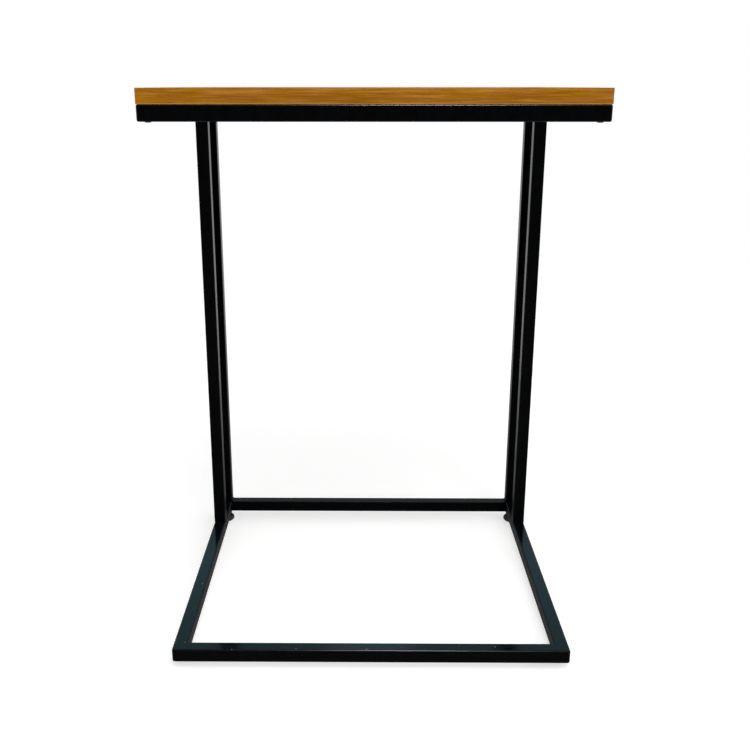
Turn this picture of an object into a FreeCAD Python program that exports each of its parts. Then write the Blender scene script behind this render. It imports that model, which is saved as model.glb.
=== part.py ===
import FreeCAD, Part
import os
import Sketcher
from FreeCAD import Rotation, Vector

# C-shaped side table: a welded frame of square steel tube that carries a laminated board on four screws.
# Millimetres, +Z up, the open side of the C towards -Y, origin on the floor under the table's middle.

# Driving dimensions in millimetres, each a named cell of the sheet
MILLIMETRES = {
    # Overall sizes
    "overall_width": 450,
    "overall_depth": 410,
    "tabletop_height": 630,
    "floor_gap": 8,
    # Square tube and the frame made from it
    "tube_side": 16,
    "tube_wall": 1.2,
    "tube_edge_radius": 1.8,
    "frame_corner_radius": 3,
    "upright_gap": 55,
    "weld_leg": 2,
    # Laminated board
    "board_thickness": 15,
    "board_inset": 0.2,
    "laminate_thickness": 0.7,
    "band_thickness": 1,
    "band_edge_radius": 0.4,
    # Screws that hold the board down
    "screw_setback": 15,
    "screw_diameter": 4,
    "screw_bite": 10,
    "screw_tip_length": 3,
    "screw_head_diameter": 6.5,
    "screw_head_height": 1.2,
    "screw_head_rim": 0.4,
    "screw_head_face_diameter": 3.8,
    "screw_recess_length": 3.2,
    "screw_recess_width": 0.9,
    "screw_recess_depth": 0.9,
    "screw_hole_clearance": 0.25,
    # Levelling feet and the threaded inserts that they screw into
    "foot_setback": 26,
    "foot_pad_diameter": 24,
    "foot_pad_top_diameter": 20,
    "foot_pad_rim": 5,
    "foot_pad_chamfer": 2,
    "foot_pad_gap": 0.1,
    "foot_pad_sole": 2.2,
    "stud_diameter": 6,
    "stud_chamfer": 0.8,
    "stud_top_room": 2.5,
    "stud_disc_diameter": 12,
    "stud_disc_thickness": 2,
    "thread_clearance": 0.05,
    "insert_barrel_diameter": 9,
    "insert_bulge_diameter": 11,
    "insert_bulge_height": 3,
    "insert_length": 10,
    "insert_flange_diameter": 12,
    "insert_flange_thickness": 0.8,
}

document = FreeCAD.newDocument("c_shaped_side_table")


class Size:
    """A length that keeps its number together with the sheet expression that drives it."""

    def __init__(self, number, text):
        self.number = number
        self.text = text

    def __add__(self, other):
        return Size(self.number + other.number, f"({self.text} + {other.text})")

    def __sub__(self, other):
        return Size(self.number - other.number, f"({self.text} - {other.text})")

    def __neg__(self):
        return Size(-self.number, f"(0 - {self.text})")

    def __mul__(self, factor):
        return Size(self.number * factor, f"({self.text} * {factor})")

    def __truediv__(self, divisor):
        return Size(self.number / divisor, f"({self.text} / {divisor})")


class SizeSheet:
    """A spreadsheet of driving dimensions, each of which can be read as a size by its name."""

    def __init__(self, rows):
        sheet = document.addObject("Spreadsheet::Sheet", "sizes")
        for row, (name, millimetres) in enumerate(rows.items(), start=1):
            sheet.set(f"A{row}", name)
            sheet.set(f"B{row}", str(millimetres))
            sheet.setAlias(f"B{row}", name)
            setattr(self, name, Size(millimetres, f"sizes.{name}"))


sizes = SizeSheet(MILLIMETRES)
ZERO = Size(0, "0")

document.recompute()

# Levels and places worked out from the driving dimensions
half_width = sizes.overall_width / 2
half_depth = sizes.overall_depth / 2
base_top = sizes.floor_gap + sizes.tube_side
board_bottom = sizes.tabletop_height - sizes.board_thickness
top_frame_bottom = board_bottom - sizes.tube_side
upright_length = top_frame_bottom - base_top
rear_upright_front = half_depth - sizes.tube_side
front_upright_front = rear_upright_front - sizes.upright_gap - sizes.tube_side
rail_middle = sizes.tube_side / 2
side_rail_centre = half_width - rail_middle
flat_of_tube = sizes.tube_side - sizes.tube_edge_radius * 2
front_screw_place = sizes.screw_setback
rear_screw_place = sizes.overall_depth - sizes.tube_side - sizes.upright_gap / 2
front_foot_place = sizes.foot_setback
rear_foot_place = sizes.overall_depth - sizes.foot_setback

nodes = []


# Building helpers


def hold_place(thing, x, y, z):
    """Drive an object's position from the sheet."""
    for axis, size in (("x", x), ("y", y), ("z", z)):
        thing.setExpression(f"Placement.Base.{axis}", size.text)


def new_body(label, x, y, z, turn=0):
    """An empty body, turned about Z and held at a driven position."""
    body = document.addObject("PartDesign::Body", label)
    body.Label = label
    body.Placement.Rotation = Rotation(Vector(0, 0, 1), turn)
    hold_place(body, x, y, z)
    return body


def sketch_on(body, name, plane="XY_Plane", height=ZERO):
    """A sketch on one of the body's own origin planes, raised by a driven height."""
    sketch = body.newObject("Sketcher::SketchObject", f"{body.Name}_{name}")
    support = next(feature for feature in body.Origin.OriginFeatures if feature.Role == plane)
    sketch.AttachmentSupport = [(support, "")]
    sketch.MapMode = "FlatFace"
    sketch.setExpression("AttachmentOffset.Base.z", height.text)
    return sketch


def hold_point(sketch, geometry, end, x, y):
    """Hold one point of a sketch at a driven distance from the sketch's origin."""
    for kind, axis, size in (("DistanceX", -2, x), ("DistanceY", -1, y)):
        if size.number == 0:
            sketch.addConstraint(Sketcher.Constraint("PointOnObject", geometry, end, axis))
            continue
        held = sketch.addConstraint(Sketcher.Constraint(kind, -1, 1, geometry, end, size.number))
        sketch.setExpression(f"Constraints[{held}]", size.text)


def polygon(sketch, corners):
    """A closed outline of straight lines whose corners are all driven."""
    first = sketch.GeometryCount
    count = len(corners)
    for number, (x, y) in enumerate(corners):
        next_x, next_y = corners[(number + 1) % count]
        start = Vector(x.number, y.number, 0)
        end = Vector(next_x.number, next_y.number, 0)
        sketch.addGeometry(Part.LineSegment(start, end))
    for number, (x, y) in enumerate(corners):
        following = first + (number + 1) % count
        sketch.addConstraint(Sketcher.Constraint("Coincident", first + number, 2, following, 1))
        hold_point(sketch, first + number, 1, x, y)
    return sketch


def rectangle(sketch, x_start, y_start, x_end, y_end):
    """An upright rectangle between two driven corners."""
    return polygon(sketch, [(x_start, y_start), (x_end, y_start), (x_end, y_end), (x_start, y_end)])


def circle(sketch, x, y, diameter):
    """A circle with a driven centre and diameter."""
    centre = Vector(x.number, y.number, 0)
    geometry = sketch.addGeometry(Part.Circle(centre, Vector(0, 0, 1), diameter.number / 2))
    hold_point(sketch, geometry, 3, x, y)
    held = sketch.addConstraint(Sketcher.Constraint("Diameter", geometry, diameter.number))
    sketch.setExpression(f"Constraints[{held}]", diameter.text)
    return sketch


def add_feature(body, kind, sketch, length):
    """A pad or pocket that goes up from its sketch."""
    feature = body.newObject(f"PartDesign::{kind}", f"{sketch.Name}_{kind.lower()}")
    feature.Profile = sketch
    feature.setExpression("Length", length.text)
    feature.Reversed = kind == "Pocket"
    document.recompute()
    return feature


def pad(body, sketch, length):
    return add_feature(body, "Pad", sketch, length)


def pocket(body, sketch, length):
    whole = body.Shape.Volume
    feature = add_feature(body, "Pocket", sketch, length)
    if body.Shape.Volume >= whole:
        raise RuntimeError(f"{feature.Name} cuts nothing")
    return feature


def revolve(body, corners):
    """A full turn of a radius and height outline about the body's Z axis."""
    sketch = polygon(sketch_on(body, "profile", "XZ_Plane"), corners)
    feature = body.newObject("PartDesign::Revolution", f"{sketch.Name}_revolution")
    feature.Profile = sketch
    feature.ReferenceAxis = (sketch, ["V_Axis"])
    feature.Angle = 360
    document.recompute()
    return feature


def round_edges(body, base, radius, chosen):
    """A fillet on those edges of a feature that the test picks by their direction and middle."""
    names = []
    for number, edge in enumerate(base.Shape.Edges, start=1):
        run = edge.valueAt(edge.LastParameter) - edge.valueAt(edge.FirstParameter)
        if chosen(run, edge.CenterOfMass):
            names.append(f"Edge{number}")
    feature = body.newObject("PartDesign::Fillet", f"{base.Name}_fillet")
    feature.Base = (base, names)
    feature.setExpression("Radius", radius.text)
    document.recompute()
    return feature


def is_zero(number):
    return round(number, 6) == 0


def is_level(run):
    return is_zero(run.z)


def is_upright(run):
    return is_zero(run.x) and is_zero(run.y)


def keep(thing):
    """Count an object as one of the table's pieces."""
    nodes.append(thing)
    return thing


def group(label, members):
    """Separate identical solids that share one node."""
    compound = document.addObject("Part::Compound", label)
    compound.Label = label
    compound.Links = members
    document.recompute()
    return keep(compound)


# Frame


def mitred_rail(label, length, x, y, z, turn):
    """A square tube along its own X axis with mitred ends, its outer face on Y = 0."""

    def frame_corner(run, middle):
        return is_upright(run) and is_zero(middle.y)

    def tube_edge(run, middle):
        return is_level(run)

    side = sizes.tube_side
    wall = sizes.tube_wall
    body = new_body(label, x, y, z, turn)
    block = pad(body, rectangle(sketch_on(body, "block"), ZERO, ZERO, length, side), side)
    eased = round_edges(body, block, sizes.frame_corner_radius, frame_corner)
    round_edges(body, eased, sizes.tube_edge_radius, tube_edge)
    mitres = sketch_on(body, "mitres")
    polygon(mitres, [(ZERO, ZERO), (side, side), (ZERO, side)])
    polygon(mitres, [(length, ZERO), (length, side), (length - side, side)])
    pocket(body, mitres, side)
    bore = rectangle(sketch_on(body, "bore", height=wall), ZERO, wall, length, side - wall)
    pocket(body, bore, side - wall * 2)
    return keep(body)


def tube_frame(name, level):
    """Four mitred rails in a ring, their underside at the given level."""
    width = sizes.overall_width
    depth = sizes.overall_depth
    return {
        "front": mitred_rail(f"{name}_front_rail", width, -half_width, -half_depth, level, 0),
        "right": mitred_rail(f"{name}_right_rail", depth, half_width, -half_depth, level, 90),
        "rear": mitred_rail(f"{name}_rear_rail", width, half_width, half_depth, level, 180),
        "left": mitred_rail(f"{name}_left_rail", depth, -half_width, half_depth, level, 270),
    }


def drill_side_rails(rails, name, front_place, rear_place, diameter, depth):
    """Two holes up through the underside of both side rails, placed from the frame's front."""
    places_along_rail = {
        "right": (front_place, rear_place),
        "left": (sizes.overall_depth - front_place, sizes.overall_depth - rear_place),
    }
    for side, places in places_along_rail.items():
        holes = sketch_on(rails[side], name)
        for place in places:
            circle(holes, place, rail_middle, diameter)
        pocket(rails[side], holes, depth)


def upright(label, x, y):
    """A standing square tube with its lower front left corner at the given place."""

    def tube_edge(run, middle):
        return is_upright(run)

    body = new_body(label, x, y, base_top)
    outline = rectangle(sketch_on(body, "block"), ZERO, ZERO, sizes.tube_side, sizes.tube_side)
    block = pad(body, outline, upright_length)
    round_edges(body, block, sizes.tube_edge_radius, tube_edge)
    bore_end = sizes.tube_side - sizes.tube_wall
    bore = rectangle(sketch_on(body, "bore"), sizes.tube_wall, sizes.tube_wall, bore_end, bore_end)
    pocket(body, bore, upright_length)
    return keep(body)


def weld_bead(name, corner, away, rise, run_start):
    """A fillet weld with its square corner where an upright meets a rail."""
    bead = document.addObject("Part::Wedge", name)
    for limit in ("Xmax", "Ymax"):
        bead.setExpression(limit, sizes.weld_leg.text)
    for limit in ("Zmax", "Z2max"):
        bead.setExpression(limit, flat_of_tube.text)
    for limit in ("Xmin", "Ymin", "Zmin", "X2min", "Z2min", "X2max"):
        bead.setExpression(limit, ZERO.text)
    along = away.cross(rise)
    bead.Placement.Rotation = Rotation(away, rise, along, "XYZ")
    x, y, z = corner
    start_x = x + run_start if along.x else x
    start_y = y + run_start if along.y else y
    hold_place(bead, start_x, start_y, z)
    return bead


def upright_welds(label, level, rise):
    """The fillet welds at one end of the uprights: on each front upright's back and each rear upright's
    inner face. The seams on the other faces are ground flush."""
    left, right = Vector(-1, 0, 0), Vector(1, 0, 0)
    backward = Vector(0, 1, 0)
    beads = []
    for side, inward in ((-1, right), (1, left)):
        outer = half_width * side
        inner = outer - sizes.tube_side * side
        near = outer if side < 0 else inner
        spots = [
            (near, front_upright_front + sizes.tube_side, backward),
            (inner, rear_upright_front, inward),
        ]
        for x, y, away in spots:
            along = away.cross(rise)
            reversed_run = along.x + along.y < 0
            edge = sizes.tube_edge_radius
            run_start = sizes.tube_side - edge if reversed_run else edge
            name = f"{label}_{len(beads) + 1}"
            beads.append(weld_bead(name, (x, y, level), away, rise, run_start))
    return group(label, beads)


base = tube_frame("base", sizes.floor_gap)
top = tube_frame("top", top_frame_bottom)
insert_hole = sizes.insert_barrel_diameter
screw_hole = sizes.screw_diameter + sizes.screw_hole_clearance * 2
drill_side_rails(base, "insert_holes", front_foot_place, rear_foot_place, insert_hole, sizes.tube_wall)
drill_side_rails(top, "screw_holes", front_screw_place, rear_screw_place, screw_hole, sizes.tube_side)
for side_name, left_face in (("left", -half_width), ("right", half_width - sizes.tube_side)):
    upright(f"{side_name}_front_upright", left_face, front_upright_front)
    upright(f"{side_name}_rear_upright", left_face, rear_upright_front)
upright_welds("upright_foot_welds", base_top, Vector(0, 0, 1))
upright_welds("upright_head_welds", top_frame_bottom, Vector(0, 0, -1))


# Board

board_half_width = half_width - sizes.board_inset
board_half_depth = half_depth - sizes.board_inset
core_width = (board_half_width - sizes.band_thickness) * 2
core_depth = (board_half_depth - sizes.band_thickness) * 2
core_thickness = sizes.board_thickness - sizes.laminate_thickness * 2
core_edge_to_frame = sizes.board_inset + sizes.band_thickness
front_screw_in_core = front_screw_place - core_edge_to_frame
rear_screw_in_core = rear_screw_place - core_edge_to_frame
side_screw_in_core = rail_middle - core_edge_to_frame


def board_layer(label, level, thickness, hole_depth=None):
    """One layer of the board, with screw holes up from its underside where it takes the screws."""
    body = new_body(label, -core_width / 2, -core_depth / 2, level)
    pad(body, rectangle(sketch_on(body, "sheet"), ZERO, ZERO, core_width, core_depth), thickness)
    if hole_depth:
        holes = sketch_on(body, "screw_holes")
        for x in (side_screw_in_core, core_width - side_screw_in_core):
            circle(holes, x, front_screw_in_core, sizes.screw_diameter)
            circle(holes, x, rear_screw_in_core, sizes.screw_diameter)
        pocket(body, holes, hole_depth)
    return keep(body)


def edge_band(label, length, x, y, turn, eased_ends):
    """A strip along one edge of the board, outer face on its own Y = 0, with its outer arrises eased."""

    def outer_arris(run, middle):
        return is_zero(middle.y) and (is_level(run) or eased_ends)

    body = new_body(label, x, y, board_bottom, turn)
    outline = rectangle(sketch_on(body, "strip"), ZERO, ZERO, length, sizes.band_thickness)
    strip = pad(body, outline, sizes.board_thickness)
    round_edges(body, strip, sizes.band_edge_radius, outer_arris)
    return keep(body)


laminate = sizes.laminate_thickness
core_bottom = board_bottom + laminate
board_layer("tabletop_underside_laminate", board_bottom, laminate, laminate)
board_layer("tabletop_core", core_bottom, core_thickness, sizes.screw_bite - laminate)
board_layer("tabletop_top_laminate", core_bottom + core_thickness, laminate)
edge_band("tabletop_front_edge_band", core_width, -core_width / 2, -board_half_depth, 0, False)
edge_band("tabletop_rear_edge_band", core_width, core_width / 2, board_half_depth, 180, False)
board_depth = board_half_depth * 2
edge_band("tabletop_right_edge_band", board_depth, board_half_width, -board_half_depth, 90, True)
edge_band("tabletop_left_edge_band", board_depth, -board_half_width, board_half_depth, 270, True)


# Screws


def board_screw(name, x, y):
    """A pan head wood screw, head under the rail and point in the board, with a cross recess."""
    body = new_body(name, x, y, top_frame_bottom)
    radius = sizes.screw_diameter / 2
    head_radius = sizes.screw_head_diameter / 2
    point = sizes.tube_side + sizes.screw_bite
    revolve(body, [
        (ZERO, -sizes.screw_head_height),
        (sizes.screw_head_face_diameter / 2, -sizes.screw_head_height),
        (head_radius, -sizes.screw_head_rim),
        (head_radius, ZERO),
        (radius, ZERO),
        (radius, point - sizes.screw_tip_length),
        (ZERO, point),
    ])
    long_half = sizes.screw_recess_length / 2
    short_half = sizes.screw_recess_width / 2
    slots = {"slot": (long_half, short_half), "cross_slot": (short_half, long_half)}
    for slot_name, (half_x, half_y) in slots.items():
        slot = sketch_on(body, slot_name, height=-sizes.screw_head_height)
        pocket(body, rectangle(slot, -half_x, -half_y, half_x, half_y), sizes.screw_recess_depth)
    return body


screws = []
for x in (-side_rail_centre, side_rail_centre):
    for place in (front_screw_place, rear_screw_place):
        screws.append(board_screw(f"board_screw_{len(screws) + 1}", x, place - half_depth))
group("board_screws", screws)


# Levelling feet

stud_radius = sizes.stud_diameter / 2
pad_height = sizes.floor_gap - sizes.insert_flange_thickness - sizes.foot_pad_gap
disc_top = sizes.foot_pad_sole + sizes.stud_disc_thickness


def threaded_insert(name, x, y):
    """A rivet nut: its flange lies under the rail, and its barrel is upset behind the wall."""
    body = new_body(name, x, y, sizes.floor_gap)
    bore = stud_radius + sizes.thread_clearance
    barrel = sizes.insert_barrel_diameter / 2
    bulge = sizes.insert_bulge_diameter / 2
    flange = sizes.insert_flange_diameter / 2
    bulge_top = sizes.tube_wall + sizes.insert_bulge_height
    revolve(body, [
        (bore, -sizes.insert_flange_thickness),
        (flange, -sizes.insert_flange_thickness),
        (flange, ZERO),
        (barrel, ZERO),
        (barrel, sizes.tube_wall),
        (bulge, sizes.tube_wall),
        (bulge, bulge_top),
        (barrel, bulge_top),
        (barrel, sizes.insert_length),
        (bore, sizes.insert_length),
    ])
    return body


def foot_pad(label, x, y):
    """A round plastic pad that tapers to its top, moulded over the disc of its stud."""
    body = new_body(label, x, y, ZERO)
    radius = sizes.foot_pad_diameter / 2
    disc_radius = sizes.stud_disc_diameter / 2
    revolve(body, [
        (ZERO, ZERO),
        (radius - sizes.foot_pad_chamfer, ZERO),
        (radius, sizes.foot_pad_chamfer),
        (radius, sizes.foot_pad_rim),
        (sizes.foot_pad_top_diameter / 2, pad_height),
        (stud_radius, pad_height),
        (stud_radius, disc_top),
        (disc_radius, disc_top),
        (disc_radius, sizes.foot_pad_sole),
        (ZERO, sizes.foot_pad_sole),
    ])
    return keep(body)


def foot_stud(label, x, y):
    """A steel stud with the disc that anchors it in the pad."""
    body = new_body(label, x, y, ZERO)
    disc_radius = sizes.stud_disc_diameter / 2
    stud_top = base_top - sizes.tube_wall - sizes.stud_top_room
    revolve(body, [
        (ZERO, sizes.foot_pad_sole),
        (disc_radius, sizes.foot_pad_sole),
        (disc_radius, disc_top),
        (stud_radius, disc_top),
        (stud_radius, stud_top - sizes.stud_chamfer),
        (stud_radius - sizes.stud_chamfer, stud_top),
        (ZERO, stud_top),
    ])
    return keep(body)


inserts = []
for side_name, x in (("left", -side_rail_centre), ("right", side_rail_centre)):
    for end_name, place in (("front", front_foot_place), ("rear", rear_foot_place)):
        y = place - half_depth
        inserts.append(threaded_insert(f"foot_insert_{len(inserts) + 1}", x, y))
        foot_pad(f"{side_name}_{end_name}_foot_pad", x, y)
        foot_stud(f"{side_name}_{end_name}_foot_stud", x, y)
group("foot_inserts", inserts)


# Check every object, then write one file for each piece

document.recompute()
for thing in document.Objects:
    if "Invalid" in thing.State or "Error" in thing.State:
        raise RuntimeError(f"{thing.Label} failed: {thing.State}")
for node in nodes:
    if node.Shape.isNull() or not node.Shape.isValid() or not node.Shape.Solids:
        raise RuntimeError(f"{node.Label} has no valid solid")

os.makedirs("parts", exist_ok=True)
for node in nodes:
    node.Shape.exportStep(f"parts/{node.Label}.step")
print(f"{len(nodes)} pieces written")
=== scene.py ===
import math

import bmesh
import bpy
from mathutils import Matrix, Vector


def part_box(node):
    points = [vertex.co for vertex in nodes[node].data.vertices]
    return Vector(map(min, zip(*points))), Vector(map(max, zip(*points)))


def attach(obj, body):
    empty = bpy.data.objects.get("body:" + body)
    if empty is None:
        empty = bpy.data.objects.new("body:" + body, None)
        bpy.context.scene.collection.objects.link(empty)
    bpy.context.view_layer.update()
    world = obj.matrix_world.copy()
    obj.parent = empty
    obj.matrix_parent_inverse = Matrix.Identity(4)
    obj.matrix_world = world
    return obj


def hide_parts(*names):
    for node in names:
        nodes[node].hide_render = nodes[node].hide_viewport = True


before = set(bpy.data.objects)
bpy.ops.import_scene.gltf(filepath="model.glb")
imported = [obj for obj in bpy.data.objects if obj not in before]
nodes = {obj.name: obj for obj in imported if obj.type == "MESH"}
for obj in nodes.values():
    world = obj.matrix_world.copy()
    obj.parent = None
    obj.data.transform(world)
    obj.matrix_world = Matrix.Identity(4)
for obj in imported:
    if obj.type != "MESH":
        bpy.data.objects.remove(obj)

# The C-shaped side table in its finishes, on a white studio floor, seen as in the photograph.

MM = 0.001
QUARTER_TURN = math.pi / 2
SIDES = ("left", "right")
ENDS = ("front", "rear")
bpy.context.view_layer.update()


# Helpers


def linear(hex_colour):
    """The linear values that a shader takes for an sRGB hex colour."""
    channels = [int(hex_colour[start:start + 2], 16) / 255 for start in (1, 3, 5)]
    return [c / 12.92 if c <= 0.04045 else ((c + 0.055) / 1.055) ** 2.4 for c in channels] + [1]


def add_node(tree, kind, inputs=None, stops=None, **settings):
    """Add one node with its settings, its input values or links, and a ramp's colour stops."""
    node = tree.nodes.new(f"ShaderNode{kind}")
    for name, value in settings.items():
        setattr(node, name, value)
    for name, value in (inputs or {}).items():
        if isinstance(value, bpy.types.NodeSocket):
            tree.links.new(value, node.inputs[name])
        else:
            node.inputs[name].default_value = value
    for number, (position, colour) in enumerate(stops or []):
        elements = node.color_ramp.elements
        element = elements[number] if number < 2 else elements.new(position)
        element.position = position
        element.color = linear(colour)
    return node


def new_finish(name):
    """A material with its node tree and its main shader."""
    material = bpy.data.materials.new(name)
    material.use_nodes = True
    return material, material.node_tree, material.node_tree.nodes["Principled BSDF"]


def give_finish(material, *names):
    """Put one material on every face of the named CAD nodes."""
    for name in names:
        mesh = nodes[name].data
        mesh.materials.clear()
        mesh.materials.append(material)


# Finishes

COAT_MOTTLE = 9 * MM
ORANGE_PEEL = 1.1 * MM
ORANGE_PEEL_HEIGHT = 0.02 * MM
ORANGE_PEEL_STRENGTH = 0.1
DUST_SPACING = 13 * MM
DUST_RADIUS = 0.585 * MM
# Scuffs are worst up to the first height and end at the second
SCUFFS_BOTTOM = 20 * MM
SCUFFS_TOP = 420 * MM
# What scuffs, at their worst, and rubbing add to the roughness
SCUFFED_DULLNESS = 0.4
RUBBED_DULLNESS = 0.07
# The largest part of the normal along an axis: more than the first on a flat face, and less than the second
# on a rounded edge
FLAT_FACE = 0.97
ROUNDED_EDGE = 0.88
# The upright part of the normal: less than the first on a side, and more than the second on a top
SIDE_LEAN = 0.3
TOP_LEAN = 0.9


def powder_coat():
    """Polyester powder baked on steel tube: near black and satin, so that mainly grazing faces mirror the
    white room. It has a faint orange peel, and rounded edges rubbed duller and painted paler, partly as
    wear and partly as a painted highlight line. Its tops carry a few specks of dust and a bluish film that
    is partly dust and partly a painted sheen of the cool sky above. Its sides are scuffed dull low down."""
    material, tree, coat = new_finish("black_powder_coat_on_steel")
    place = add_node(tree, "TexCoord").outputs["Object"]
    height = add_node(tree, "SeparateXYZ", {0: place}).outputs["Z"]
    normal = add_node(tree, "NewGeometry").outputs["Normal"]
    facing_up = add_node(tree, "SeparateXYZ", {0: normal}).outputs["Z"]

    # Where the tube has rounded edges, sides and tops
    turned = add_node(tree, "VectorMath", {0: normal}, operation="ABSOLUTE")
    square = add_node(tree, "SeparateXYZ", {0: turned.outputs["Vector"]})
    sideways = add_node(tree, "Math", {0: square.outputs["X"], 1: square.outputs["Y"]}, operation="MAXIMUM")
    squarest = add_node(tree, "Math", {0: sideways.outputs[0], 1: square.outputs["Z"]}, operation="MAXIMUM")
    edge = add_node(tree, "MapRange", {"Value": squarest.outputs[0], "From Min": ROUNDED_EDGE,
                                       "From Max": FLAT_FACE, "To Min": 1.0, "To Max": 0.0})
    rubbed_and_highlit_edge = edge.outputs["Result"]
    side = add_node(tree, "Math", {0: square.outputs["Z"], 1: SIDE_LEAN}, operation="LESS_THAN")
    top = add_node(tree, "Math", {0: facing_up, 1: TOP_LEAN}, operation="GREATER_THAN")

    # Colour
    mottle = add_node(tree, "TexNoise", {"Vector": place, "Scale": 1 / COAT_MOTTLE, "Detail": 3})
    paint = add_node(tree, "ValToRGB", {"Fac": mottle.outputs["Fac"]},
                     stops=[(0.35, "#010102"), (0.65, "#020304")])
    # Rounded edges painted paler: partly wear, partly a painted highlight line along them
    worn_and_highlight = add_node(tree, "MixRGB", {"Fac": rubbed_and_highlit_edge, "Color1": paint.outputs["Color"],
                                     "Color2": linear("#0F1113")})
    # A bluish film on the tops: partly dust, partly a painted sheen of the cool sky above
    film_and_sheen = add_node(tree, "ValToRGB", {"Fac": mottle.outputs["Fac"]},
                    stops=[(0.35, "#05090B"), (0.65, "#080C0F")])
    specks = add_node(tree, "TexVoronoi", {"Vector": place, "Scale": 1 / DUST_SPACING})
    speck = add_node(tree, "Math", {0: specks.outputs["Distance"], 1: DUST_RADIUS / DUST_SPACING},
                     operation="LESS_THAN")
    dust_and_sheen = add_node(tree, "MixRGB", {"Fac": speck.outputs[0], "Color1": film_and_sheen.outputs["Color"],
                                     "Color2": linear("#7C868A")})
    colour = add_node(tree, "MixRGB", {"Fac": top.outputs[0], "Color1": worn_and_highlight.outputs["Color"],
                                       "Color2": dust_and_sheen.outputs["Color"]})

    # Roughness
    satin = add_node(tree, "MapRange", {"Value": mottle.outputs["Fac"], "From Min": 0.3, "From Max": 0.7,
                                        "To Min": 0.10, "To Max": 0.16})
    scuffs = add_node(tree, "MapRange", {"Value": height, "From Min": SCUFFS_BOTTOM, "From Max": SCUFFS_TOP,
                                         "To Min": SCUFFED_DULLNESS, "To Max": 0.0})
    scuffed = add_node(tree, "Math", {0: scuffs.outputs["Result"], 1: side.outputs[0],
                                      2: satin.outputs["Result"]}, operation="MULTIPLY_ADD")
    dulled = add_node(tree, "Math", {0: rubbed_and_highlit_edge, 1: RUBBED_DULLNESS, 2: scuffed.outputs[0]},
                      operation="MULTIPLY_ADD")

    # Orange peel, worn smooth on the edges
    peel = add_node(tree, "TexNoise", {"Vector": place, "Scale": 1 / ORANGE_PEEL, "Detail": 2})
    unrubbed = add_node(tree, "Math", {0: 1.0, 1: rubbed_and_highlit_edge}, operation="SUBTRACT")
    peel_strength = add_node(tree, "Math", {0: unrubbed.outputs[0], 1: ORANGE_PEEL_STRENGTH},
                             operation="MULTIPLY")
    relief = add_node(tree, "Bump", {"Height": peel.outputs["Fac"], "Strength": peel_strength.outputs[0],
                                     "Distance": ORANGE_PEEL_HEIGHT})

    tree.links.new(colour.outputs["Color"], coat.inputs["Base Color"])
    tree.links.new(dulled.outputs[0], coat.inputs["Roughness"])
    tree.links.new(relief.outputs["Normal"], coat.inputs["Normal"])
    # Lower than a plain coat's, for faces that stay near black in a white room
    coat.inputs["Specular IOR Level"].default_value = 0.02
    return material


# The printed lines are longer on the board's faces than on its narrow bands
FACE_LINE = 150 * MM
BAND_LINE = 40 * MM
LINE_WIDTH = 1.3 * MM
BLUSH_WIDTH = 3 * MM
PORE_LENGTH = 7 * MM
PORE_WIDTH = 0.45 * MM
# The lines wander across the grain by up to the sway, in waves about as long as the drift
DRIFT = 110 * MM
SWAY = (0, 8 * MM, 2.5 * MM)
# How the broad figure and the lines share in the tone
FIGURE_SHARE = 0.45
LINE_SHARE = 0.55
GRAIN_HEIGHT = 0.03 * MM


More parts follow.
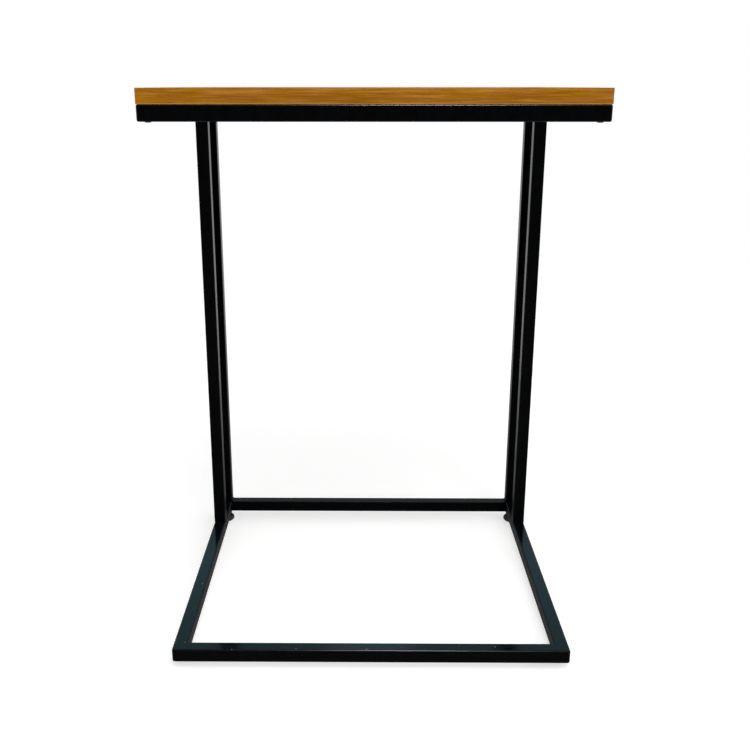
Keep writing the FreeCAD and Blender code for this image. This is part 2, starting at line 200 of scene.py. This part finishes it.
def wood_grain(name, turn, start, line_length, pale_foot_red_top):
    """Melamine paper printed with a honey-brown grain: thin streaks that wander a little, from golden to
    tan, with short dark pores, sealed satin. A band's edge is paler along its foot, with a darker line
    just above, and redder along its top. Each piece is cut from the sheet at its own start, in metres,
    with its own turn."""
    material, tree, melamine = new_finish(name)
    place = add_node(tree, "TexCoord").outputs["Object"]
    board = add_node(tree, "Mapping", {"Vector": place, "Location": start, "Rotation": (0, 0, turn)},
                     vector_type="TEXTURE")
    drift = add_node(tree, "TexNoise", {"Vector": board.outputs["Vector"], "Scale": 1 / DRIFT, "Detail": 1})
    sway = add_node(tree, "VectorMath", {0: drift.outputs["Color"], 1: SWAY, 2: board.outputs["Vector"]},
                    operation="MULTIPLY_ADD")

    def streaks(length, width, detail):
        """Noise drawn out along the grain."""
        size = (length, width, width)
        along = add_node(tree, "VectorMath", {0: sway.outputs["Vector"], 1: size}, operation="DIVIDE")
        noise = add_node(tree, "TexNoise", {"Vector": along.outputs["Vector"], "Scale": 1,
                                            "Detail": detail})
        return noise.outputs["Fac"]

    # The figure behind the lines is six times as long as a line, and as wide as a sixth of a line's length
    figure = streaks(6 * line_length, line_length / 6, 4)
    lines = streaks(line_length, LINE_WIDTH, 2)
    pores = streaks(PORE_LENGTH, PORE_WIDTH, 1)
    blush = streaks(line_length, BLUSH_WIDTH, 1)

    # Colour
    broad = add_node(tree, "Math", {0: figure, 1: FIGURE_SHARE}, operation="MULTIPLY")
    grain = add_node(tree, "Math", {0: lines, 1: LINE_SHARE, 2: broad.outputs[0]}, operation="MULTIPLY_ADD")
    golden = add_node(tree, "ValToRGB", {"Fac": grain.outputs[0]},
                      stops=[(0.38, "#815000"), (0.50, "#966000"), (0.62, "#A67206")])
    tan = add_node(tree, "ValToRGB", {"Fac": grain.outputs[0]},
                   stops=[(0.38, "#855112"), (0.50, "#9A631D"), (0.62, "#AC7431")])
    blushed = add_node(tree, "MapRange", {"Value": blush, "From Min": 0.38, "From Max": 0.62})
    printed = add_node(tree, "MixRGB", {"Fac": blushed.outputs["Result"], "Color1": golden.outputs["Color"],
                                        "Color2": tan.outputs["Color"]})
    in_pore = add_node(tree, "MapRange", {"Value": pores, "From Min": 0.30, "From Max": 0.38,
                                          "To Min": 0.45, "To Max": 0.0})
    colour = add_node(tree, "MixRGB", {"Fac": in_pore.outputs["Result"], "Color1": printed.outputs["Color"],
                                       "Color2": linear("#6E4208")})
    if pale_foot_red_top:
        # Stops are shares of the band's height: the band is paler along its foot, with a darker line just
        # above, and redder along its top. Tone is their colour, and cover how far it shows
        low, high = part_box("tabletop_front_edge_band")
        height = add_node(tree, "SeparateXYZ", {0: place}).outputs["Z"]
        level = add_node(tree, "MapRange", {"Value": height, "From Min": low.z, "From Max": high.z})
        tone = add_node(tree, "ValToRGB", {"Fac": level.outputs["Result"]},
                        stops=[(0.0, "#C69A58"), (0.045, "#B98A45"), (0.06, "#84520A"), (0.12, "#9B641C"),
                               (0.93, "#9B641C"), (0.97, "#8A4F1C")])
        cover = add_node(tree, "ValToRGB", {"Fac": level.outputs["Result"]},
                         stops=[(0.0, "#C8C8C8"), (0.06, "#A0A0A0"), (0.12, "#000000"),
                                (0.93, "#000000"), (0.97, "#A0A0A0")])
        colour = add_node(tree, "MixRGB", {"Fac": cover.outputs["Color"], "Color1": colour.outputs["Color"],
                                           "Color2": tone.outputs["Color"]})

    relief = add_node(tree, "Bump", {"Height": grain.outputs[0], "Strength": 0.2, "Distance": GRAIN_HEIGHT})
    satin = add_node(tree, "MapRange", {"Value": lines, "From Min": 0.3, "From Max": 0.7,
                                        "To Min": 0.40, "To Max": 0.50})
    tree.links.new(colour.outputs["Color"], melamine.inputs["Base Color"])
    tree.links.new(satin.outputs["Result"], melamine.inputs["Roughness"])
    tree.links.new(relief.outputs["Normal"], melamine.inputs["Normal"])
    # Lower than a plain plastic's, so that the print keeps its depth in a white room
    melamine.inputs["Specular IOR Level"].default_value = 0.03
    return material


FLAKE = 3 * MM
PIT_DEPTH = 0.2 * MM


def particle_board():
    """Pressed wood chips: pale and dark flakes a few millimetres across, dry and rough."""
    material, tree, chips = new_finish("raw_particle_board")
    place = add_node(tree, "TexCoord").outputs["Object"]
    flakes = add_node(tree, "TexVoronoi", {"Vector": place, "Scale": 1 / FLAKE})
    tone = add_node(tree, "ValToRGB", {"Fac": flakes.outputs["Color"]},
                    stops=[(0.1, "#8F6F45"), (0.5, "#B08D5C"), (0.9, "#CDB083")])
    pits = add_node(tree, "Bump", {"Height": flakes.outputs["Distance"], "Strength": 0.5,
                                   "Distance": PIT_DEPTH})
    tree.links.new(tone.outputs["Color"], chips.inputs["Base Color"])
    tree.links.new(pits.outputs["Normal"], chips.inputs["Normal"])
    chips.inputs["Roughness"].default_value = 0.85
    return material


# Coarser than the real crystals, which are too fine to show
ZINC_MOTTLE = 1.5 * MM


def zinc_plate():
    """Zinc plated steel: bright, slightly blue grey, with a soft crystalline mottle."""
    material, tree, zinc = new_finish("zinc_plated_steel")
    place = add_node(tree, "TexCoord").outputs["Object"]
    mottle = add_node(tree, "TexNoise", {"Vector": place, "Scale": 1 / ZINC_MOTTLE, "Detail": 3})
    tone = add_node(tree, "ValToRGB", {"Fac": mottle.outputs["Fac"]},
                    stops=[(0.3, "#9FA4AA"), (0.7, "#C3C7CB")])
    gleam = add_node(tree, "MapRange", {"Value": mottle.outputs["Fac"], "From Min": 0.3, "From Max": 0.7,
                                        "To Min": 0.25, "To Max": 0.4})
    tree.links.new(tone.outputs["Color"], zinc.inputs["Base Color"])
    tree.links.new(gleam.outputs["Result"], zinc.inputs["Roughness"])
    zinc.inputs["Metallic"].default_value = 1
    return material


OXIDE_BLOOM = 0.8 * MM


def black_oxide():
    """Blackened steel screws: dark metal with a dull oily gleam and a slight bloom."""
    material, tree, steel = new_finish("black_oxide_steel")
    place = add_node(tree, "TexCoord").outputs["Object"]
    bloom = add_node(tree, "TexNoise", {"Vector": place, "Scale": 1 / OXIDE_BLOOM, "Detail": 3})
    tone = add_node(tree, "ValToRGB", {"Fac": bloom.outputs["Fac"]},
                    stops=[(0.3, "#161617"), (0.7, "#29292B")])
    tree.links.new(tone.outputs["Color"], steel.inputs["Base Color"])
    steel.inputs["Metallic"].default_value = 1
    steel.inputs["Roughness"].default_value = 0.45
    return material


# Coarser than the real skin of such a mould, which is too fine to show
PEBBLE = 0.5 * MM
PEBBLE_HEIGHT = 0.05 * MM


def moulded_plastic():
    """Moulded black polypropylene: dull, a little warm, with the pebbled skin of a spark-eroded mould."""
    material, tree, plastic = new_finish("moulded_black_polypropylene")
    place = add_node(tree, "TexCoord").outputs["Object"]
    pebble = add_node(tree, "TexNoise", {"Vector": place, "Scale": 1 / PEBBLE, "Detail": 2})
    tone = add_node(tree, "ValToRGB", {"Fac": pebble.outputs["Fac"]},
                    stops=[(0.3, "#100F0B"), (0.7, "#1B1913")])
    relief = add_node(tree, "Bump", {"Height": pebble.outputs["Fac"], "Strength": 0.4,
                                     "Distance": PEBBLE_HEIGHT})
    tree.links.new(tone.outputs["Color"], plastic.inputs["Base Color"])
    tree.links.new(relief.outputs["Normal"], plastic.inputs["Normal"])
    plastic.inputs["Roughness"].default_value = 0.55
    plastic.inputs["Specular IOR Level"].default_value = 0.3
    return material


coat_finish = powder_coat()
zinc_finish = zinc_plate()
screw_finish = black_oxide()
plastic_finish = moulded_plastic()

for ring in ("base", "top"):
    for side in ("front", "right", "rear", "left"):
        give_finish(coat_finish, f"{ring}_{side}_rail")
for side in SIDES:
    for end in ENDS:
        give_finish(coat_finish, f"{side}_{end}_upright")
        give_finish(zinc_finish, f"{side}_{end}_foot_stud")
        give_finish(plastic_finish, f"{side}_{end}_foot_pad")
give_finish(coat_finish, "upright_foot_welds", "upright_head_welds")
give_finish(screw_finish, "board_screws")
give_finish(zinc_finish, "foot_inserts")
give_finish(particle_board(), "tabletop_core")
give_finish(wood_grain("wood_grain_melamine_top", 0, (0.31, 0.07, 0.02), FACE_LINE, False),
            "tabletop_top_laminate")
give_finish(wood_grain("wood_grain_melamine_underside", 0, (0.83, 0.41, 0.13), FACE_LINE, False),
            "tabletop_underside_laminate")
give_finish(wood_grain("wood_grain_edge_band", 0, (0.12, 0.29, 0.0), BAND_LINE, True),
            "tabletop_front_edge_band", "tabletop_rear_edge_band")
give_finish(wood_grain("wood_grain_side_band", QUARTER_TURN, (0.44, 0.17, 0.0), BAND_LINE, True),
            "tabletop_left_edge_band", "tabletop_right_edge_band")


# Welds, studs and screws in their real form, in place of the plain solids

SHARP_EDGE = math.radians(30)


def join_rings(mesh, rings, close_first=True):
    """Skin a row of rings that have as many points each, and close its ends."""
    count = len(rings[0])
    for lower, upper in zip(rings, rings[1:]):
        for number in range(count):
            after = (number + 1) % count
            mesh.faces.new((lower[number], lower[after], upper[after], upper[number]))
    if close_first:
        mesh.faces.new(rings[0])
    mesh.faces.new(rings[-1])


def finish_piece(mesh, name, finish, body, node):
    """Make a piece of a mesh, in place of a CAD node and riding on its body."""
    bmesh.ops.recalc_face_normals(mesh, faces=mesh.faces)
    data = bpy.data.meshes.new(name)
    mesh.to_mesh(data)
    mesh.free()
    data.materials.append(finish)
    data.shade_smooth()
    data.set_sharp_from_angle(angle=SHARP_EDGE)
    piece = bpy.data.objects.new(name, data)
    bpy.context.scene.collection.objects.link(piece)
    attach(piece, body)
    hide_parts(node)


WELD_LEG = 2.0 * MM
WELD_END_GAP = 1.8 * MM
WELD_SINK = 0.2 * MM
WELD_STATIONS = 60
WELD_STEPS = 8
# Size of a bead at its very ends, as a share of its full size
WELD_END_CROWN = 0.25
RIPPLE_PITCH = 1.3 * MM
# How deep the ripples are, as a share of the bead's size, and how far they bow, in pitches
RIPPLE_DEPTH = 0.16
RIPPLE_BOW = 0.4


def weld_bead(mesh, corner, along, out, up, length):
    """One fillet weld in the corner of two tubes: bowed ripples, one over the next, and rounded ends."""
    rings = []
    for station in range(WELD_STATIONS + 1):
        run = length * (station / WELD_STATIONS - 0.5)
        from_end = min((length / 2 - abs(run)) / WELD_LEG, 1)
        crown = WELD_END_CROWN + (1 - WELD_END_CROWN) * math.sqrt(1 - (1 - from_end) ** 2)
        middle = corner + along * run
        ring = [mesh.verts.new(middle - (out + up) * WELD_SINK)]
        for step in range(WELD_STEPS + 1):
            angle = QUARTER_TURN * step / WELD_STEPS
            wave = math.sin(math.pi * (run / RIPPLE_PITCH + RIPPLE_BOW * math.sin(2 * angle)))
            ripple = 1 - RIPPLE_DEPTH * (1 - math.sqrt(abs(wave)))
            flat_fillet = 1 / (math.cos(angle) + math.sin(angle))
            halfway_to_round = (1 + flat_fillet) / 2
            reach = WELD_LEG * crown * ripple * halfway_to_round
            ring.append(mesh.verts.new(middle + reach * (out * math.cos(angle) + up * math.sin(angle))))
        rings.append(ring)
    join_rings(mesh, rings)


ACROSS = Vector((1, 0, 0))
BACKWARD = Vector((0, 1, 0))
UPWARD = Vector((0, 0, 1))

for place, up in (("foot", UPWARD), ("head", -UPWARD)):
    mesh = bmesh.new()
    for side, inward in (("left", ACROSS), ("right", -ACROSS)):
        low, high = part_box(f"{side}_front_upright")
        level = low.z if place == "foot" else high.z
        bead_length = high.x - low.x - 2 * WELD_END_GAP
        back_corner = Vector(((low.x + high.x) / 2, high.y, level))
        weld_bead(mesh, back_corner, ACROSS, BACKWARD, up, bead_length)
        low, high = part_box(f"{side}_rear_upright")
        inner_face = high.x if side == "left" else low.x
        inner_corner = Vector((inner_face, (low.y + high.y) / 2, level))
        weld_bead(mesh, inner_corner, BACKWARD, inward, up, bead_length)
    finish_piece(mesh, f"upright_{place}_weld_beads", coat_finish, "table",
                 f"upright_{place}_welds")

SEGMENTS = 24
RINGS_PER_PITCH = 6
# Shares of half a thread's pitch that its flat root and its flank take
THREAD_ROOT = 0.2
THREAD_FLANK = 0.65
# Radius of a thread's end, as a share of its core's
TIP_END = 0.3


def turned_ring(mesh, axis, height, radii):
    """A ring of points round a vertical axis, with a radius for each."""
    ring = []
    for number, radius in enumerate(radii):
        angle = 2 * math.pi * number / SEGMENTS
        x = axis.x + radius * math.cos(angle)
        y = axis.y + radius * math.sin(angle)
        ring.append(mesh.verts.new((x, y, height)))
    return ring


def plain_ring(mesh, axis, height, radius):
    """A round ring about a vertical axis."""
    return turned_ring(mesh, axis, height, [radius] * SEGMENTS)


def threaded_rings(mesh, axis, low, high, core, crest, pitch, tip):
    """The rings of a right-hand thread with flat crests and roots, from low to high, coned over its tip."""
    rings = []
    count = round((high - low) / pitch * RINGS_PER_PITCH)
    for number in range(count + 1):
        height = low + (high - low) * number / count
        cone = core * (TIP_END + (high - height) / tip)
        radii = []
        for segment in range(SEGMENTS):
            turn = (height / pitch - segment / SEGMENTS) % 1
            flank = min(max((abs(2 * turn - 1) - THREAD_ROOT) / THREAD_FLANK, 0), 1)
            radii.append(min(core + (crest - core) * flank, cone))
        rings.append(turned_ring(mesh, axis, height, radii))
    return rings


STUD_DISC_THICKNESS = 2.0 * MM
STUD_CORE = 2.45 * MM
STUD_CREST = 3.0 * MM
STUD_PITCH = 1.0 * MM
STUD_TIP = 1.6 * MM

for side in SIDES:
    for end in ENDS:
        foot = f"{side}_{end}_foot"
        low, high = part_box(f"{foot}_stud")
        axis = (low + high) / 2
        disc_radius = (high.x - low.x) / 2
        disc_top = low.z + STUD_DISC_THICKNESS
        mesh = bmesh.new()
        rings = [plain_ring(mesh, axis, low.z, disc_radius), plain_ring(mesh, axis, disc_top, disc_radius)]
        rings += threaded_rings(mesh, axis, disc_top, high.z, STUD_CORE, STUD_CREST, STUD_PITCH, STUD_TIP)
        join_rings(mesh, rings)
        finish_piece(mesh, f"{foot}_threaded_stud", zinc_finish, foot, f"{foot}_stud")

SCREW_HEAD_RADIUS = 3.25 * MM
SCREW_FACE_RADIUS = 1.9 * MM
SCREW_RIM = 0.4 * MM
SCREW_DOME_STEPS = 5
SCREW_CORE = 1.4 * MM
SCREW_CREST = 2.0 * MM
SCREW_PITCH = 1.8 * MM
SCREW_TIP = 5 * MM
CROSS_ARM = 1.4 * MM
CROSS_HALF_WIDTH = 0.36 * MM
CROSS_DEPTH = 0.9 * MM
# Size of the recess at its bottom, as a share of its mouth's
CROSS_TAPER = 0.6


def cross_recess(mesh, rim, axis, level):
    """Close the flat face of a screw head round a cross-shaped recess that narrows as it goes in."""
    arm = (
        Vector((CROSS_ARM, -CROSS_HALF_WIDTH, 0)),
        Vector((CROSS_ARM, CROSS_HALF_WIDTH, 0)),
        Vector((CROSS_HALF_WIDTH, CROSS_HALF_WIDTH, 0)),
    )
    mouth_middle = Vector((axis.x, axis.y, level))
    bottom_middle = mouth_middle + CROSS_DEPTH * UPWARD
    mouth = []
    bottom = []
    for quarter in range(4):
        turn = Matrix.Rotation(QUARTER_TURN * quarter, 3, "Z")
        for corner in arm:
            point = turn @ corner
            mouth.append(mesh.verts.new(mouth_middle + point))
            bottom.append(mesh.verts.new(bottom_middle + point * CROSS_TAPER))
    join_rings(mesh, [mouth, bottom], close_first=False)
    edges = []
    for loop in (rim, mouth):
        for first, second in zip(loop, loop[1:] + loop[:1]):
            edges.append(mesh.edges.get((first, second)))
    bmesh.ops.triangle_fill(mesh, edges=edges, use_beauty=True)


mesh = bmesh.new()
low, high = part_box("board_screws")
head_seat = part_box("top_left_rail")[0].z
dome_height = head_seat - SCREW_RIM - low.z
for x in (low.x + SCREW_HEAD_RADIUS, high.x - SCREW_HEAD_RADIUS):
    for y in (low.y + SCREW_HEAD_RADIUS, high.y - SCREW_HEAD_RADIUS):
        axis = Vector((x, y, 0))
        rings = []
        for step in range(SCREW_DOME_STEPS + 1):
            angle = QUARTER_TURN * step / SCREW_DOME_STEPS
            radius = SCREW_FACE_RADIUS + (SCREW_HEAD_RADIUS - SCREW_FACE_RADIUS) * math.sin(angle)
            rings.append(plain_ring(mesh, axis, low.z + dome_height * (1 - math.cos(angle)), radius))
        rings.append(plain_ring(mesh, axis, head_seat, SCREW_HEAD_RADIUS))
        rings += threaded_rings(mesh, axis, head_seat, high.z, SCREW_CORE, SCREW_CREST, SCREW_PITCH,
                                SCREW_TIP)
        join_rings(mesh, rings, close_first=False)
        cross_recess(mesh, rings[0], axis, low.z)
finish_piece(mesh, "pan_head_board_screws", screw_finish, "table", "board_screws")


# Studio

FLOOR_RADIUS = 12
FLOOR_CORNERS = 96
FLOOR_FADE_START = 1.0
FLOOR_FADE_END = 3.0
# Brings the floor from the tone that the lamps give it up to white
FLOOR_LIFT = 0.58
ROOM_LIGHT = 0.6
WHITE = linear("#FFFFFF")


def in_plain_sight(tree):
    """One for what the eye sees, also in gloss and through glass, and zero for the light that falls on
    things."""
    ray = add_node(tree, "LightPath")
    seen = add_node(tree, "Math", {0: ray.outputs["Is Camera Ray"], 1: ray.outputs["Is Glossy Ray"]},
                    operation="MAXIMUM")
    shown = add_node(tree, "Math", {0: seen.outputs[0], 1: ray.outputs["Is Transmission Ray"]},
                     operation="MAXIMUM")
    return shown.outputs[0]


def white_floor():
    """A matt pale floor, shown white, that runs into the white of the room some way off."""
    material, tree, paint = new_finish("matt_white_studio_floor")
    place = add_node(tree, "TexCoord").outputs["Object"]
    distance = add_node(tree, "VectorMath", {0: place}, operation="LENGTH")
    fade = add_node(tree, "MapRange", {"Value": distance.outputs["Value"], "From Min": FLOOR_FADE_START,
                                       "From Max": FLOOR_FADE_END}, interpolation_type="SMOOTHSTEP")
    lift = add_node(tree, "Math", {0: in_plain_sight(tree), 1: FLOOR_LIFT}, operation="MULTIPLY")
    lifted = add_node(tree, "Emission", {"Color": WHITE, "Strength": lift.outputs[0]})
    near = add_node(tree, "AddShader", {0: paint.outputs["BSDF"], 1: lifted.outputs["Emission"]})
    far = add_node(tree, "Emission", {"Color": WHITE, "Strength": 1})
    mixed = add_node(tree, "MixShader", {"Fac": fade.outputs["Result"], 1: near.outputs["Shader"],
                                         2: far.outputs["Emission"]})
    tree.links.new(mixed.outputs["Shader"], tree.nodes["Material Output"].inputs["Surface"])
    paint.inputs["Base Color"].default_value = linear("#C8C8C8")
    paint.inputs["Roughness"].default_value = 0.9
    paint.inputs["Specular IOR Level"].default_value = 0
    return material


bpy.ops.mesh.primitive_circle_add(vertices=FLOOR_CORNERS, radius=FLOOR_RADIUS, fill_type="NGON")
floor = bpy.context.object
floor.name = "studio_floor"
floor.data.materials.append(white_floor())

# The room is white to the eye and in gloss, and lights everything else softly from all sides
world = bpy.data.worlds.new("studio_room")
bpy.context.scene.world = world
world.use_nodes = True
tree = world.node_tree
white_room = add_node(tree, "Background", {"Color": WHITE, "Strength": 1})
room_light = add_node(tree, "Background", {"Color": WHITE, "Strength": ROOM_LIGHT})
room = add_node(tree, "MixShader", {"Fac": in_plain_sight(tree), 1: room_light.outputs["Background"],
                                    2: white_room.outputs["Background"]})
tree.links.new(room.outputs["Shader"], tree.nodes["World Output"].inputs["Surface"])

TABLE_MIDDLE = Vector((0, 0, 0.35))


def softbox(name, place, width, height, watts, colour="#FFFFFF"):
    """A softbox that faces the middle of the table."""
    lamp = bpy.data.lights.new(name, "AREA")
    lamp.shape = "RECTANGLE"
    lamp.size = width
    lamp.size_y = height
    lamp.energy = watts
    lamp.color = linear(colour)[:3]
    holder = bpy.data.objects.new(name, lamp)
    bpy.context.scene.collection.objects.link(holder)
    holder.location = place
    holder.rotation_euler = (TABLE_MIDDLE - Vector(place)).to_track_quat("-Z", "Y").to_euler()
    holder.visible_camera = False
    return holder


softbox("overhead_softbox", (0.3, -1.2, 2.3), 1.0, 1.0, 22)
front_fill = softbox("front_fill_softbox", (0.4, -2.2, 1.3), 1.4, 1.4, 10)
front_fill.visible_glossy = False
softbox("back_right_softbox", (2.0, 2.0, 1.6), 1.2, 1.2, 16)

# These show in gloss only: one as a line of light along the top bar's edge, and the other two as a cool
# window behind the table, brighter in its middle, that the upper faces of the base mirror
gloss_lamps = (
    softbox("edge_light", (0.12, -0.66, 2.05), 0.4, 1.0, 420),
    softbox("cool_window", (0.0, 3.0, 2.45), 3.6, 1.7, 55, "#86E2F6"),
    softbox("bright_middle_of_window", (0.04, 2.99, 2.13), 0.4, 0.5, 2.2, "#C8DCFF"),
)
for lamp in gloss_lamps:
    lamp.visible_diffuse = False

# Camera, in the photograph's place: level with the board, and cropped a little to the right of the lens's
# middle
PHOTO_SIDE = 750
FOCAL_LENGTH_IN_PIXELS = 936.5
MIDDLE_OF_LENS_IN_PIXELS = 355.5
SENSOR_WIDTH = 36
CAMERA_PLACE = Vector((-10.6, -1120.6, 632.1)) * MM
YAW_LEFT = math.radians(0.42)
PITCH_DOWN = math.radians(17.19)

camera_data = bpy.data.cameras.new("photo_camera")
camera_data.sensor_width = SENSOR_WIDTH
camera_data.lens = FOCAL_LENGTH_IN_PIXELS / PHOTO_SIDE * SENSOR_WIDTH
camera_data.shift_x = (PHOTO_SIDE / 2 - MIDDLE_OF_LENS_IN_PIXELS) / PHOTO_SIDE
camera = bpy.data.objects.new("photo_camera", camera_data)
bpy.context.scene.collection.objects.link(camera)
camera.matrix_world = (
    Matrix.Translation(CAMERA_PLACE)
    @ Matrix.Rotation(YAW_LEFT, 4, "Z")
    @ Matrix.Rotation(QUARTER_TURN - PITCH_DOWN, 4, "X")
)
bpy.context.scene.camera = camera
bpy.context.scene.view_settings.view_transform = "Standard"
